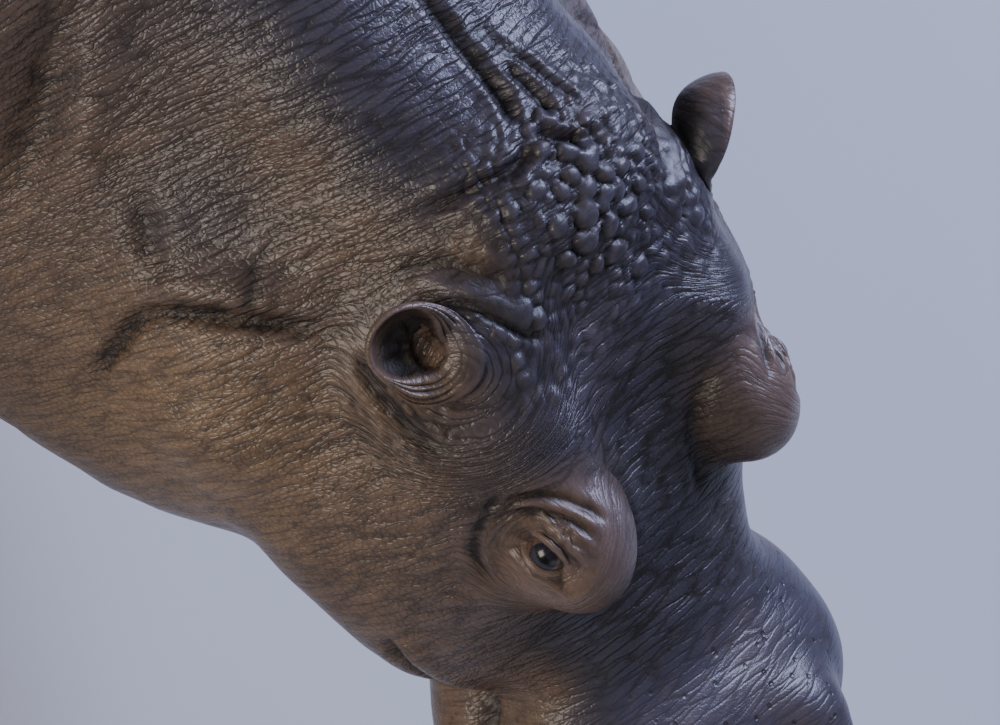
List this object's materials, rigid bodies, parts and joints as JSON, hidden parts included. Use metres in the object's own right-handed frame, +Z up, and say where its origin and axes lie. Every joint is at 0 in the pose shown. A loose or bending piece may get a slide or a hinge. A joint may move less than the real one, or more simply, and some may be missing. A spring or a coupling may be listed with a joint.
{
  "type": "hippopotamus",
  "caption": "Life-size common hippopotamus standing on all fours with its head lowered, wet grey-brown skin, cupped ears, raised eyes and a broad muzzle",
  "frame": {"origin": "on the floor under the middle of the box", "axes": "+X is the animal's left, -Y is where it faces, +Z is up"},
  "size_m": [1.143, 3.3658, 1.4408],
  "materials": {
    "hide": "wet grey-brown wrinkled skin, slate above and warm brown at the sides",
    "pale_hide": "paler pinkish-brown wet skin under the jaw",
    "ear_skin": "thin soft skin, pinkish at the rim",
    "eye": "glossy dark brown",
    "nail": "dull dark horn"
  },
  "bodies": {
    "root": {"head": "hide", "neck": "hide", "trunk": "hide", "tail": "hide", "foreleg_left": "hide", "foreleg_right": "hide", "hindleg_left": "hide", "hindleg_right": "hide", "forefoot_left": "hide", "forefoot_right": "hide", "hindfoot_left": "hide", "hindfoot_right": "hide", "lower_jaw": "pale_hide", "ear_left": "ear_skin", "ear_right": "ear_skin", "eye_left": "eye", "eye_right": "eye", "nail_fore_left_1": "nail", "nail_fore_left_2": "nail", "nail_fore_left_3": "nail", "nail_fore_left_4": "nail", "nail_fore_right_1": "nail", "nail_fore_right_2": "nail", "nail_fore_right_3": "nail", "nail_fore_right_4": "nail", "nail_hind_left_1": "nail", "nail_hind_left_2": "nail", "nail_hind_left_3": "nail", "nail_hind_left_4": "nail", "nail_hind_right_1": "nail", "nail_hind_right_2": "nail", "nail_hind_right_3": "nail", "nail_hind_right_4": "nail"}
  },
  "joints": []
}
